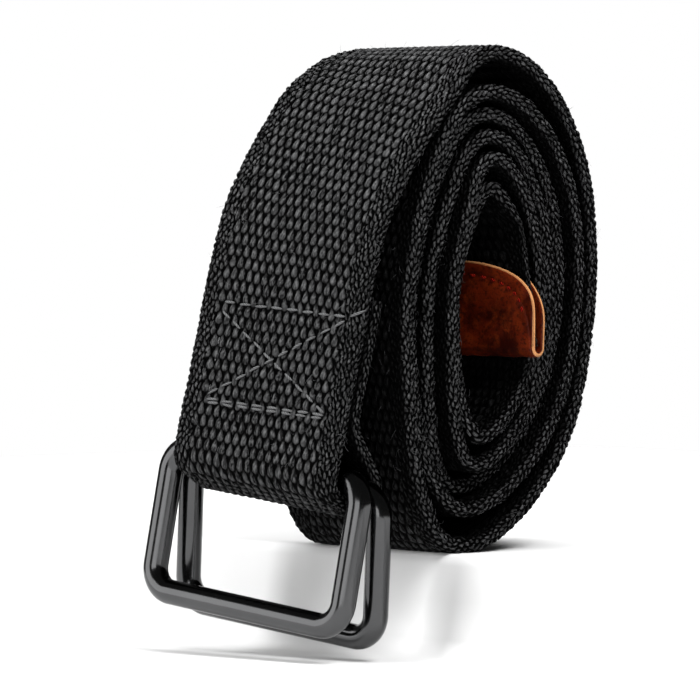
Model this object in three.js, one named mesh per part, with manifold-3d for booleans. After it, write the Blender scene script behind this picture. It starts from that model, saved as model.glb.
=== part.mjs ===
// Double ring belt: thick woven webbing rolled up on its edge axis, with a folded leather tip
// inside the roll and two rectangular rings hanging in the stitched fold at the outer end.
// Millimetres, +Z up. X runs along the roll's axis and the rings hang at the front, towards -Y.
// The origin is the middle of the roll's underside.
import * as THREE from 'three';
import { mergeVertices } from 'three/addons/utils/BufferGeometryUtils.js';
import Module from 'manifold-3d';

const wasm = await Module();
wasm.setup();

// Webbing
const strapWidth = 38;
const strapThickness = 2.85;
const edgeRounding = 0.9;
const pinchedThickness = 1.3;
const sewnThickness = 2.5;

// Roll: its outer face is an upright oval that leans back as it rises
const rollHeight = 90;
const backReach = 28.2;
const frontReach = 18.25;
const tailReach = 27.5;
const rollLean = 0.0856;
const topShiftPerTurn = 0.36;
const bottomShiftPerTurn = 0.68;
const restDepth = 0.35;
const stationsPerTurn = 52;
const endTurn = 5.08;

// Straight inner end of the strap, under the leather
const tipRun = 26.3;
const tipBendShare = 0.25;
const tipLean = 0;
const tipYaw = 8;
const tipSlide = 4.8;

// Tail: the outer end on its way down the front. Its near edge is turned back and it drifts sideways
const tailYaw = 8.6;
const tailSkew = 5.25;
const tailTurnRun = 20;
const tailSkewRun = 45;
const tailSteps = 20;
const foldHeight = 15.6;

// Rings
const ringWidth = 50;
const ringHeight = 30.6;
const wireDiameter = 4.5;
const ringCornerRadius = 4.6;
const barClearance = 0.35;
const backBarBehind = 4.7;
const backBarBelow = 1.6;
const frontRingSlide = -0.4;
const backRingSlide = 0;
const frontRingLean = 6.5;
const backRingLean = -4;
const wireSides = 14;
const cornerSteps = 6;

// Flap: the strap's end, sewn flat to the back of the tail above the rings
const flapGap = 0.45;
const flapContactRise = 9;
const flapBendRadius = 6;
const flapEndRise = 31.5;

// Leather tip
const leatherThickness = 0.9;
const leatherGap = 0.2;
const archWidth = 38.5;
const archHeight = 12.6;
const archStraight = 2.4;
const outerLeafExtra = 3.5;
const foldSteps = 8;
const archSteps = 20;

// Each row is one turn, counted inwards from the outer top.
// gap columns: the space to the next turn inwards, in shares of the strap's thickness.
// full columns: how far each quarter bulges past the oval, in shares of its depth.
// slide columns: how far the turn is pushed back along the roll's axis, in shares of the strap's width.
const turns = [
  { gapTop: 1.453, gapBack: 0.266, gapBottom: 1.284, gapFront: 0.039,
    fullUpperBack: 0.02, fullLowerBack: 0.08, fullLowerFront: -0.06, fullUpperFront: -0.09,
    slideTop: 0, slideBack: 0, slideBottom: 0, slideFront: 0 },
  { gapTop: 0.38, gapBack: 0.266, gapBottom: 0.34, gapFront: 0.039,
    fullUpperBack: 0.03, fullLowerBack: 0.06, fullLowerFront: -0.06, fullUpperFront: -0.1,
    slideTop: 0, slideBack: 0, slideBottom: 0.01, slideFront: 0.09 },
  { gapTop: 0.38, gapBack: 0.266, gapBottom: 0.42, gapFront: 0.039,
    fullUpperBack: 0.01, fullLowerBack: 0.045, fullLowerFront: -0.06, fullUpperFront: -0.12,
    slideTop: 0.04, slideBack: 0.053, slideBottom: 0.105, slideFront: 0.063 },
  { gapTop: 0.4, gapBack: 0.266, gapBottom: 0.72, gapFront: 0.181,
    fullUpperBack: -0.01, fullLowerBack: 0.04, fullLowerFront: -0.06, fullUpperFront: -0.15,
    slideTop: 0.026, slideBack: 0.026, slideBottom: 0, slideFront: 0 },
  { gapTop: 0.82, gapBack: 0.539, gapBottom: 0.4, gapFront: 0.039,
    fullUpperBack: -0.03, fullLowerBack: 0.05, fullLowerFront: -0.05, fullUpperFront: -0.16,
    slideTop: 0, slideBack: 0, slideBottom: 0, slideFront: 0.105 },
  { gapTop: 0, gapBack: 0, gapBottom: 0, gapFront: 0,
    fullUpperBack: -0.2, fullLowerBack: 0, fullLowerFront: 0, fullUpperFront: 0,
    slideTop: 0.03, slideBack: -0.05, slideBottom: 0, slideFront: 0 },
];

// The tail's outer face along its middle, in shares of the roll's height
const tailRows = [
  { height: 1.0, reach: -0.0856 },
  { height: 0.979, reach: -0.0144 },
  { height: 0.944, reach: 0.0322 },
  { height: 0.878, reach: 0.101 },
  { height: 0.778, reach: 0.171 },
  { height: 0.667, reach: 0.2256 },
  { height: 0.556, reach: 0.2522 },
  { height: 0.467, reach: 0.2667 },
];

const radians = THREE.MathUtils.degToRad;

const webbingMaterial = () => new THREE.MeshStandardMaterial({ color: 0x2b2b2d, roughness: 0.95, metalness: 0 });
const leatherMaterial = () => new THREE.MeshStandardMaterial({ color: 0x6e2f14, roughness: 0.6, metalness: 0 });
const ringMaterial = () => new THREE.MeshStandardMaterial({ color: 0x34353a, roughness: 0.15, metalness: 1 });

// A value that eases from each entry of a list to the next, level at every entry
function easeThrough(values, place) {
  const index = Math.min(Math.max(Math.floor(place), 0), values.length - 2);
  const share = Math.min(Math.max(place - index, 0), 1);
  const weight = (1 - Math.cos(Math.PI * share)) / 2;
  return values[index] * (1 - weight) + values[index + 1] * weight;
}

// The outer face's distance from the roll's middle at one side of every turn
function reachesInwards(outermost, gapName) {
  const reaches = [outermost];
  for (const turn of turns.slice(0, -1)) {
    reaches.push(reaches.at(-1) - strapThickness * (1 + turn[gapName]));
  }
  return reaches;
}

const topReaches = reachesInwards(rollHeight / 2, 'gapTop');
const backReaches = reachesInwards(backReach, 'gapBack');
const bottomReaches = reachesInwards(rollHeight / 2, 'gapBottom');
const frontReaches = reachesInwards(frontReach, 'gapFront');
const uprightReaches = turns.flatMap((_, i) => [topReaches[i], bottomReaches[i]]);
const levelReaches = turns.flatMap((_, i) => [backReaches[i], frontReaches[i]]);
const slides = turns.flatMap((turn) => [turn.slideTop, turn.slideBack, turn.slideBottom, turn.slideFront]);

// A point of the strap's outer face, for a place counted in turns inwards from the outer top
function rollFacePoint(place) {
  const angle = 2 * Math.PI * place;
  const row = turns[Math.min(Math.floor(place), turns.length - 1)];
  const quarter = Math.floor((place - Math.floor(place)) * 4);
  const fullness = [row.fullUpperBack, row.fullLowerBack, row.fullLowerFront, row.fullUpperFront][quarter];
  const upright = easeThrough(uprightReaches, 2 * place);
  const level = easeThrough([tailReach, ...levelReaches], 2 * place + 0.5);
  const z = rollHeight / 2 + upright * Math.cos(angle);
  const shift = place * THREE.MathUtils.lerp(bottomShiftPerTurn, topShiftPerTurn, z / rollHeight);
  const y = rollLean * z + shift + level * Math.sin(angle) * (1 + fullness * Math.sin(2 * angle) ** 2);
  return new THREE.Vector2(y, z);
}

// A station is the strap's middle at one place, with the way across it and the way out of the roll
function station(middle, across, out, thickness = strapThickness) {
  return { middle, across: across.clone().normalize(), out: out.clone().normalize(), thickness };
}

// Moves a point of the outer face to the strap's middle
function rollStation(place) {
  const step = 0.001;
  const face = rollFacePoint(place);
  const ahead = rollFacePoint(place + step).sub(rollFacePoint(Math.max(place - step, 0)));
  const out = new THREE.Vector3(0, -ahead.y, ahead.x).normalize();
  const x = -strapWidth * easeThrough(slides, 4 * place);
  const middle = new THREE.Vector3(x, face.x, face.y).addScaledVector(out, -strapThickness / 2);
  middle.z -= restDepth;
  if (middle.z < strapThickness / 2) {
    middle.z = strapThickness / 2;
    out.set(0, 0, -1);
  }
  return station(middle, new THREE.Vector3(1, 0, 0), out);
}

// The strap from its outer top round the roll to where the leather end begins
function rollStations() {
  const count = Math.round(endTurn * stationsPerTurn);
  return Array.from({ length: count + 1 }, (_, i) => rollStation((endTurn * i) / count));
}

// The inner end hangs off the innermost turn: it straightens to a slight lean, turns its near edge
// back and is pinched where the leather grips it
function tipStations(last, previous) {
  const start = last.middle.clone().sub(previous.middle).setX(0).normalize();
  const startLean = Math.atan2(start.y, -start.z);
  const count = 12;
  const list = [];
  const middle = last.middle.clone();
  for (let i = 1; i <= count; i += 1) {
    const share = i / count;
    const settled = easeThrough([0, 1], share / tipBendShare);
    const lean = THREE.MathUtils.lerp(startLean, radians(tipLean), settled);
    const along = new THREE.Vector3(0, Math.sin(lean), -Math.cos(lean));
    const yaw = radians(tipYaw) * settled;
    const outwards = new THREE.Vector3(0, Math.cos(lean), Math.sin(lean));
    const across = acrossTail(-yaw, 0, outwards, along);
    const out = outwards.clone().addScaledVector(across, -outwards.dot(across));
    middle.addScaledVector(along, tipRun / count);
    middle.x += tipSlide / count;
    list.push(station(middle.clone(), across, out, THREE.MathUtils.lerp(strapThickness, pinchedThickness, settled)));
  }
  return list;
}

// The way across the tail: its near edge lies further into the roll and further along the strap
function acrossTail(yaw, skew, out, along) {
  return new THREE.Vector3(Math.cos(yaw) * Math.cos(skew), 0, 0)
    .addScaledVector(out, -Math.sin(yaw) * Math.cos(skew)).addScaledVector(along, Math.sin(skew));
}

// The tail's way over the front shoulder, from the outer top down to where it runs straight
function shoulderStations() {
  const behind = rollFacePoint(0.04);
  const rows = tailRows.map(({ height, reach }) => new THREE.Vector2(-reach, height).multiplyScalar(rollHeight));
  const curve = new THREE.SplineCurve([behind, ...rows]);
  const first = 1 / rows.length;
  const list = [];
  let x = 0;
  let run = 0;
  let before = curve.getPoint(first);
  for (let i = 1; i <= tailSteps; i += 1) {
    const share = first + ((1 - first) * i) / tailSteps;
    const point = curve.getPoint(share);
    const heading = curve.getTangent(share);
    const step = point.distanceTo(before);
    run += step;
    before = point;
    const yaw = radians(tailYaw) * easeThrough([0, 1], run / tailTurnRun);
    const skew = radians(tailSkew) * easeThrough([0, 1], run / tailSkewRun);
    const along = new THREE.Vector3(0, heading.x, heading.y);
    const outwards = new THREE.Vector3(0, heading.y, -heading.x);
    x -= Math.tan(skew) * step;
    const across = acrossTail(yaw, skew, outwards, along);
    const out = new THREE.Vector3().crossVectors(along, across).normalize();
    const middle = new THREE.Vector3(x, point.x, point.y - restDepth).addScaledVector(outwards, -strapThickness / 2);
    list.push({ ...station(middle, across, out), tangent: along });
  }
  return list;
}

const shoulder = shoulderStations();
const shoulderEnd = shoulder.at(-1);
const roll = rollStations();
const tip = tipStations(roll.at(-1), roll.at(-2));

// The hang frame: across the strap, down along the tail and out of its front, with its origin
// at the middle of the front ring's top bar
const across = shoulderEnd.across.clone();
const down = shoulderEnd.tangent.clone().addScaledVector(across, -shoulderEnd.tangent.dot(across)).normalize();
const out = new THREE.Vector3().crossVectors(down, across).normalize();
const bendReach = wireDiameter / 2 + barClearance + sewnThickness / 2;
const tailRun = (shoulderEnd.middle.z - foldHeight - bendReach * out.z) / -down.z;
const frontBar = shoulderEnd.middle.clone().addScaledVector(down, tailRun).addScaledVector(out, -bendReach);

// A point of the hang frame: outwards from the front bar, down from it
function hangPoint(outward, drop) {
  return frontBar.clone().addScaledVector(out, outward).addScaledVector(down, drop);
}

// A station of the fold: its middle, and the way out of the fold's own outside
function foldStation(outward, drop, turned, thickness = sewnThickness) {
  const facing = out.clone().multiplyScalar(Math.cos(turned)).addScaledVector(down, Math.sin(turned));
  return station(hangPoint(outward, drop), across, facing, thickness);
}

// The straight tail, the fold round both bars, the rise behind them and the flap
function foldStations() {
  const list = [];
  for (let i = 1; i <= 7; i += 1) {
    const thickness = THREE.MathUtils.lerp(strapThickness, sewnThickness, i / 7);
    list.push(foldStation(bendReach, -tailRun * (1 - i / 7), 0, thickness));
  }
  const under = Math.atan2(backBarBehind, backBarBelow);
  const roundFront = 5;
  for (let i = 1; i <= roundFront; i += 1) {
    const turned = (under * i) / roundFront;
    list.push(foldStation(bendReach * Math.cos(turned), bendReach * Math.sin(turned), turned));
  }
  const flapOut = bendReach - sewnThickness - flapGap;
  const rise = riseAngle(flapOut);
  const roundBack = 14;
  for (let i = 0; i <= roundBack; i += 1) {
    const turned = under + ((Math.PI + rise - under) * i) / roundBack;
    const outward = -backBarBehind + bendReach * Math.cos(turned);
    list.push(foldStation(outward, backBarBelow + bendReach * Math.sin(turned), turned));
  }
  const bendStart = flapBendRadius * Math.tan(rise / 2);
  const bendSteps = 6;
  for (let i = 0; i <= bendSteps; i += 1) {
    const left = rise * (1 - i / bendSteps);
    const outward = flapOut - flapBendRadius * (1 - Math.cos(left));
    const drop = -flapContactRise - bendStart + flapBendRadius * Math.sin(left);
    list.push(foldStation(outward, drop, Math.PI + left));
  }
  const flapTop = flapContactRise + bendStart;
  for (let i = 1; i <= 4; i += 1) {
    list.push(foldStation(flapOut, -flapTop - ((flapEndRise - flapTop) * i) / 4, Math.PI));
  }
  return list;
}

// How steeply the strap rises from behind the back bar to lie against the tail
function riseAngle(flapOut) {
  let rise = 0.5;
  for (let i = 0; i < 30; i += 1) {
    const startOut = -backBarBehind - bendReach * Math.cos(rise);
    const startDrop = backBarBelow - bendReach * Math.sin(rise);
    rise = Math.atan2(flapOut - startOut, startDrop + flapContactRise);
  }
  return rise;
}

// The strap's section at a station: eight corners, flat faces and rounded selvedges
function sectionCorners({ middle, across: sideways, out: outwards, thickness }) {
  const half = strapWidth / 2;
  const flat = half - edgeRounding;
  const corners = [
    [flat, 0.5], [half, 0.22], [half, -0.22], [flat, -0.5],
    [-flat, -0.5], [-half, -0.22], [-half, 0.22], [-flat, 0.5],
  ];
  return corners.map(([side, share]) => middle.clone()
    .addScaledVector(sideways, side).addScaledVector(outwards, share * thickness));
}

// A closed solid through a row of sections, each a ring of as many corners
function loft(sections, closed) {
  const sides = sections[0].length;
  const positions = sections.flat().flatMap((corner) => corner.toArray());
  const faces = [];
  const spans = closed ? sections.length : sections.length - 1;
  for (let i = 0; i < spans; i += 1) {
    const here = i * sides;
    const next = ((i + 1) % sections.length) * sides;
    for (let j = 0; j < sides; j += 1) {
      const k = (j + 1) % sides;
      faces.push(here + j, next + j, next + k, here + j, next + k, here + k);
    }
  }
  if (!closed) {
    const last = (sections.length - 1) * sides;
    for (let j = 1; j < sides - 1; j += 1) {
      faces.push(0, j, j + 1, last, last + j + 1, last + j);
    }
  }
  const geometry = new THREE.BufferGeometry();
  geometry.setAttribute('position', new THREE.Float32BufferAttribute(positions, 3));
  geometry.setIndex(faces);
  return facingOut(geometry);
}

// Turns a closed shape's faces the right way round if its volume comes out negative
function facingOut(geometry) {
  const position = geometry.getAttribute('position');
  const faces = geometry.getIndex().array;
  const [a, b, c] = [new THREE.Vector3(), new THREE.Vector3(), new THREE.Vector3()];
  let volume = 0;
  for (let i = 0; i < faces.length; i += 3) {
    a.fromBufferAttribute(position, faces[i]);
    b.fromBufferAttribute(position, faces[i + 1]);
    c.fromBufferAttribute(position, faces[i + 2]);
    volume += a.dot(b.cross(c));
  }
  if (volume < 0) {
    for (let i = 0; i < faces.length; i += 3) {
      [faces[i + 1], faces[i + 2]] = [faces[i + 2], faces[i + 1]];
    }
  }
  geometry.computeVertexNormals();
  return geometry;
}

function webbing() {
  const stations = [...tip.toReversed(), ...roll.toReversed(), ...shoulder, ...foldStations()];
  return loft(stations.map(sectionCorners), false);
}

// A ring's centreline is a rectangle with round corners, hung from the middle of its top bar
function ring(bar, lean) {
  const spin = new THREE.Matrix4().makeRotationAxis(across, -lean);
  const hang = new THREE.Vector3(0, 0, -1).addScaledVector(across, across.z).normalize().applyMatrix4(spin);
  const front = new THREE.Vector3().crossVectors(hang, across);
  const halfWide = (ringWidth - wireDiameter) / 2 - ringCornerRadius;
  const height = ringHeight - wireDiameter;
  const rows = [
    { side: 1, drop: height - ringCornerRadius, start: 0 },
    { side: -1, drop: height - ringCornerRadius, start: 90 },
    { side: -1, drop: ringCornerRadius, start: 180 },
    { side: 1, drop: ringCornerRadius, start: 270 },
  ];
  const sections = rows.flatMap(({ side, drop, start }) => Array.from({ length: cornerSteps + 1 }, (_, i) => {
    const angle = radians(start + (90 * i) / cornerSteps);
    const outwards = across.clone().multiplyScalar(Math.cos(angle)).addScaledVector(hang, Math.sin(angle));
    const middle = bar.clone().addScaledVector(across, side * halfWide).addScaledVector(hang, drop)
      .addScaledVector(outwards, ringCornerRadius);
    return Array.from({ length: wireSides }, (__, j) => {
      const round = (2 * Math.PI * j) / wireSides;
      return middle.clone().addScaledVector(outwards, (wireDiameter / 2) * Math.cos(round))
        .addScaledVector(front, (wireDiameter / 2) * Math.sin(round));
    });
  }));
  return loft(sections, true);
}

// A closed three.js geometry as a solid for joining and cutting
function solid(geometry) {
  const bare = geometry.clone();
  bare.deleteAttribute('normal');
  bare.deleteAttribute('uv');
  const merged = mergeVertices(bare);
  return new wasm.Manifold(new wasm.Mesh({
    numProp: 3,
    vertProperties: Float32Array.from(merged.getAttribute('position').array),
    triVerts: Uint32Array.from(merged.getIndex().array),
  }));
}

function geometryOf(manifold) {
  const mesh = manifold.getMesh();
  const geometry = new THREE.BufferGeometry();
  geometry.setAttribute('position', new THREE.BufferAttribute(new Float32Array(mesh.vertProperties), 3));
  geometry.setIndex(Array.from(mesh.triVerts));
  geometry.computeVertexNormals();
  return geometry;
}

// The folded strip's side view: two leaves and the round fold between them.
// The shape's x is the way out of the roll and its y the way up from the strap's end.
function foldProfile(rise) {
  const inner = pinchedThickness / 2 + leatherGap;
  const outer = inner + leatherThickness;
  const middleDrop = -leatherGap;
  const shape = new THREE.Shape();
  shape.moveTo(outer, rise);
  shape.lineTo(outer, middleDrop);
  for (let i = 1; i <= foldSteps; i += 1) {
    const angle = (Math.PI * i) / foldSteps;
    shape.lineTo(outer * Math.cos(angle), middleDrop - outer * Math.sin(angle));
  }
  shape.lineTo(-outer, rise);
  shape.lineTo(-inner, rise);
  shape.lineTo(-inner, middleDrop);
  for (let i = foldSteps - 1; i >= 0; i -= 1) {
    const angle = (Math.PI * i) / foldSteps;
    shape.lineTo(inner * Math.cos(angle), middleDrop - inner * Math.sin(angle));
  }
  shape.lineTo(inner, rise);
  return shape;
}

// One leaf's outline, seen square on: straight sides and an arched top
function leafOutline(extra) {
  const shape = new THREE.Shape();
  const half = archWidth / 2;
  const foot = -2 * (pinchedThickness + leatherThickness);
  shape.moveTo(-half, foot);
  shape.lineTo(half, foot);
  for (let i = 0; i <= archSteps; i += 1) {
    const angle = (Math.PI * i) / archSteps;
    shape.lineTo(half * Math.cos(angle), archStraight + extra + archHeight * Math.sin(angle));
  }
  return shape;
}

// The leather tip in its own frame: x across the strap, y out of the roll, z up from the strap's end
function leatherTip() {
  const rise = archStraight + archHeight + outerLeafExtra + 1;
  const strip = new THREE.ExtrudeGeometry(foldProfile(rise), { depth: archWidth, bevelEnabled: false });
  strip.translate(0, 0, -archWidth / 2);
  strip.applyMatrix4(new THREE.Matrix4().makeBasis(
    new THREE.Vector3(0, 1, 0), new THREE.Vector3(0, 0, 1), new THREE.Vector3(1, 0, 0)));
  const reach = pinchedThickness + 2 * leatherThickness;
  const upright = new THREE.Matrix4().makeRotationX(Math.PI / 2);
  const innerLeaf = new THREE.ExtrudeGeometry(leafOutline(0), { depth: reach + leatherGap, bevelEnabled: false });
  innerLeaf.applyMatrix4(upright).translate(0, leatherGap, 0);
  const outerLeaf = new THREE.ExtrudeGeometry(leafOutline(outerLeafExtra), { depth: reach, bevelEnabled: false });
  outerLeaf.applyMatrix4(upright).translate(0, reach, 0);
  const outline = solid(innerLeaf).add(solid(outerLeaf));
  const geometry = geometryOf(solid(strip).intersect(outline));
  const end = tip.at(-1);
  const up = tip.at(-2).middle.clone().sub(end.middle);
  up.addScaledVector(end.across, -up.dot(end.across)).normalize();
  const away = new THREE.Vector3().crossVectors(up, end.across);
  const place = new THREE.Matrix4().makeBasis(end.across, away, up).setPosition(end.middle);
  return geometry.applyMatrix4(place);
}

function named(name, geometry, material) {
  const mesh = new THREE.Mesh(geometry, material);
  mesh.name = name;
  return mesh;
}

const backBar = hangPoint(-backBarBehind, backBarBelow);
const belt = new THREE.Group();
belt.add(named('webbing', webbing(), webbingMaterial()));
belt.add(named('leather_tip', leatherTip(), leatherMaterial()));
const frontRingBar = frontBar.clone().addScaledVector(across, frontRingSlide);
const backRingBar = backBar.clone().addScaledVector(across, backRingSlide);
belt.add(named('ring_front', ring(frontRingBar, radians(frontRingLean)), ringMaterial()));
belt.add(named('ring_back', ring(backRingBar, radians(backRingLean)), ringMaterial()));

export default belt;
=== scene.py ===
import math

import bpy
import numpy as np
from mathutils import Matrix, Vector


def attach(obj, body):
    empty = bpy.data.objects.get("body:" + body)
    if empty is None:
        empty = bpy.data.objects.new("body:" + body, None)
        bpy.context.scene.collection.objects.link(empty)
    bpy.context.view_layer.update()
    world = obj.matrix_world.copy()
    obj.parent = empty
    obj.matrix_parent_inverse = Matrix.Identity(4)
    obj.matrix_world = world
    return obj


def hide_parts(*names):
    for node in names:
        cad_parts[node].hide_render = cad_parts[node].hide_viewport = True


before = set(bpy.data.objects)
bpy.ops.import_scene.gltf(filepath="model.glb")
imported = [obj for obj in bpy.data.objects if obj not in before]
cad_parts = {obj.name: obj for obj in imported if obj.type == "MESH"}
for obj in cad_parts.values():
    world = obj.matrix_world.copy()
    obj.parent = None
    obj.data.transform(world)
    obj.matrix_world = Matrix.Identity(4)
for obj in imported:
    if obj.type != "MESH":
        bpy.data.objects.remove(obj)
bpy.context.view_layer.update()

MM = 0.001

# Sizes of the strap, the rings and the leather, in millimetres
STRAP_WIDTH = 38.0
STRAP_THICKNESS = 2.85
EDGE_ROUNDING = 0.9
# Below 1, the edge's rounding is fuller: across the strap, and through its thickness
EDGE_FULLNESS, EDGE_LEVELNESS = 0.72, 0.85
HALF_FLAT = STRAP_WIDTH / 2 - EDGE_ROUNDING
PINCHED_THICKNESS = 1.3
SEWN_THICKNESS = 2.5
ROLL_HEIGHT = 90.0
BACK_REACH = 28.2
FRONT_REACH = 18.25
TAIL_REACH = 27.5
ROLL_LEAN = 0.0856
TOP_SHIFT = 0.36
BOTTOM_SHIFT = 0.68
REST_DEPTH = 0.35
END_TURN = 5.08
TIP_RUN = 26.3
TIP_BEND_SHARE = 0.25
TIP_YAW = math.radians(8)
TIP_SLIDE = 4.8
TIP_STEPS = 12
TAIL_YAW = math.radians(8.6)
TAIL_SKEW = math.radians(5.25)
TAIL_TURN_RUN = 20.0
TAIL_SKEW_RUN = 45.0
TAIL_STEPS = 20
FOLD_HEIGHT = 15.6
RING_WIDTH = 50.0
RING_HEIGHT = 30.6
WIRE = 4.5
RING_CORNER = 4.6
BAR_CLEARANCE = 0.35
BACK_BAR_BEHIND = 4.7
BACK_BAR_BELOW = 1.6
FRONT_RING_SLIDE = -0.4
FRONT_RING_LEAN = math.radians(6.5)
BACK_RING_LEAN = math.radians(-4)
FLAP_GAP = 0.45
FLAP_CONTACT_RISE = 9.0
FLAP_BEND_RADIUS = 6.0
FLAP_END_RISE = 31.5
LEATHER_THICKNESS = 0.9
LEATHER_GAP = 0.2
LEATHER_CORE = PINCHED_THICKNESS / 2 + LEATHER_GAP + LEATHER_THICKNESS / 2
HALF_BEND = math.pi * LEATHER_CORE / 2
ARCH_WIDTH = 38.5
ARCH_HEIGHT = 12.6
ARCH_STRAIGHT = 2.4
OUTER_LEAF_EXTRA = 2.0
# Below 1, the leather's arch has a flatter crown and fuller corners than half an ellipse
ARCH_SQUARENESS = 0.52
SEAM_INSET = 2.3
LEATHER_STITCHES = 19
EDGE_BULGE = 0.16
INNER_LEAF_RISE = HALF_BEND + LEATHER_GAP + ARCH_STRAIGHT
OUTER_LEAF_RISE = INNER_LEAF_RISE + OUTER_LEAF_EXTRA

# How finely the rings are cut, and the strap's path
CORNER_STEPS, BAR_STEPS, WIRE_SIDES = 16, 10, 32
ROLL_STATIONS = 2600
FINER_TIP, FINER_SHOULDER = 10, 12
TAIL_STRAIGHT_STEPS, FRONT_BEND_STEPS, BACK_BEND_STEPS = 60, 24, 60
FLAP_BEND_STEPS, FLAP_STEPS = 16, 40

# One row a turn, counted inwards. Gaps in shares of the thickness, fullness in shares of the depth
# [upper back, lower back, lower front, upper front], slides in shares of the width [top, back, bottom, front]
TURNS = [
    {"top": 1.453, "back": 0.266, "bottom": 1.284, "front": 0.039,
     "full": [0.02, 0.08, -0.06, -0.09], "slide": [0, 0, 0, 0]},
    {"top": 0.38, "back": 0.266, "bottom": 0.34, "front": 0.039,
     "full": [0.03, 0.06, -0.06, -0.1], "slide": [0, 0, 0.01, 0.09]},
    {"top": 0.38, "back": 0.266, "bottom": 0.42, "front": 0.039,
     "full": [0.01, 0.045, -0.06, -0.12], "slide": [0.04, 0.053, 0.105, 0.063]},
    {"top": 0.4, "back": 0.266, "bottom": 0.72, "front": 0.181,
     "full": [-0.01, 0.04, -0.06, -0.15], "slide": [0.026, 0.026, 0, 0]},
    {"top": 0.82, "back": 0.539, "bottom": 0.4, "front": 0.039,
     "full": [-0.03, 0.05, -0.05, -0.16], "slide": [0, 0, 0, 0.105]},
    {"top": 0, "back": 0, "bottom": 0, "front": 0,
     "full": [-0.2, 0, 0, 0], "slide": [0.03, -0.05, 0, 0]},
]
# The tail's outer face, in shares of the roll's height: (height, reach)
TAIL_ROWS = [(1.0, -0.0856), (0.979, -0.0144), (0.944, 0.0322), (0.878, 0.101),
             (0.778, 0.171), (0.667, 0.2256), (0.556, 0.2522), (0.467, 0.2667)]

# The weave, in millimetres
FLOAT_PITCH = 1.87
ROW_PITCH = 2.05
SELVEDGE_START = 15.1
SELVEDGE_PITCH = 1.0
SELVEDGE_ROW = 1.25
SELVEDGE_BLEND = 0.5
# How the selvedge's yarns lean and sway: (amount in pitches or rows, radians a millimetre)
LEAN_ALONG, LEAN_SLANTED = (0.22, 1.35), (0.16, 0.53)
SWAY_ACROSS, SWAY_ALONG = (0.3, 2.1), (0.2, 0.37)
# The cloth's slow wobble: (wavelength, share of the amount), and its amount and seeds
WOBBLES = ((61, 1.0), (23, 0.6), (9.7, 0.35))
WEAVE_DRIFT, EDGE_WOBBLE = 0.12, 0.1
# The edge's wobble begins this far from the strap's middle, and is whole after so much more
WOBBLE_START, WOBBLE_RISE = 12, 7
DRIFT_SEED, ROW_SEED, EDGE_SEED = 3, 8, 5
WEAVE_RELIEF = 0.5
SELVEDGE_RELIEF = 0.46
FLOAT_PROUD = 0.1
INNER_FACE_OFFSET = 100.0
# The middle of the rounded edge, counted round the section, and how light the rolled-in faces stay under
# their painted shade
EDGE_MIDDLE = 19.8
FACE_SHADE = 0.08
# A float's length in rows, its width in pitches and how fast it rises out of the cloth at its point
FLOAT_ROWS = 1.52
FLOAT_WIDTH = 0.58
FLOAT_RISE = 1.7
SLIMMEST_FLOAT = 0.02
# Above 1, a float's sides are hollow; the higher the second, the flatter its low end
FLOAT_TAPER = 0.85
FLOAT_BLUNTNESS = 7.0
# The yarn's streaks and crumbs, in features a millimetre
PLY_FINENESS, CRUMB_FINENESS, CRUMB_DEPTH = 2.3, 2.6, 0.45
# The ply streaks run from the first colour to the second: the yarn's twist, with a painted highlight along it
YARN_DARK, YARN_STREAK_HIGHLIGHT = (0.003, 0.003, 0.0031), (0.073, 0.0733, 0.0745)
YARN_WORN, WORN_SHARE = (0.13, 0.1305, 0.1325), 0.45
# Painted shade: the first colour for the weave's gaps and the floats' low flanks, the second for the faces
# between the turns and behind the tail
WEAVE_GAP_SHADE, TURN_SHADOW = (0.0003, 0.0003, 0.0003), (0.0002, 0.0002, 0.0002)
# From where to where round the outer turn its front passes out of the painted shadow behind the tail
SHADE_SHARES = (0.3, 0.55)


def ease_through(values, place):
    """Eases from each entry to the next, level at every entry."""
    values = np.asarray(values, float)
    place = np.asarray(place, float)
    index = np.clip(np.floor(place).astype(int), 0, len(values) - 2)
    share = np.clip(place - index, 0, 1)
    weight = (1 - np.cos(np.pi * share)) / 2
    return values[index] * (1 - weight) + values[index + 1] * weight


def reaches_inwards(outermost, side):
    reaches = [outermost]
    for turn in TURNS[:-1]:
        reaches.append(reaches[-1] - STRAP_THICKNESS * (1 + turn[side]))
    return reaches


TOPS, BOTTOMS = reaches_inwards(ROLL_HEIGHT / 2, "top"), reaches_inwards(ROLL_HEIGHT / 2, "bottom")
BACKS, FRONTS = reaches_inwards(BACK_REACH, "back"), reaches_inwards(FRONT_REACH, "front")
UPRIGHTS = [r for pair in zip(TOPS, BOTTOMS) for r in pair]
LEVELS = [TAIL_REACH] + [r for pair in zip(BACKS, FRONTS) for r in pair]
SLIDES = [s for turn in TURNS for s in turn["slide"]]
FULLNESS = np.array([turn["full"] for turn in TURNS])


def unit(vectors):
    return vectors / np.linalg.norm(vectors, axis=-1, keepdims=True)


def roll_face(place):
    """Points (y, z) of the strap's outer face, for places counted in turns inwards from the top."""
    place = np.asarray(place, float)
    angle = 2 * np.pi * place
    turn = np.minimum(np.floor(place).astype(int), len(TURNS) - 1)
    quarter = np.floor((place - np.floor(place)) * 4).astype(int)
    fullness = FULLNESS[turn, quarter]
    z = ROLL_HEIGHT / 2 + ease_through(UPRIGHTS, 2 * place) * np.cos(angle)
    shift = place * (BOTTOM_SHIFT + (TOP_SHIFT - BOTTOM_SHIFT) * z / ROLL_HEIGHT)
    level = ease_through(LEVELS, 2 * place + 0.5)
    y = ROLL_LEAN * z + shift + level * np.sin(angle) * (1 + fullness * np.sin(2 * angle) ** 2)
    return np.stack([y, z], -1)


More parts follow.
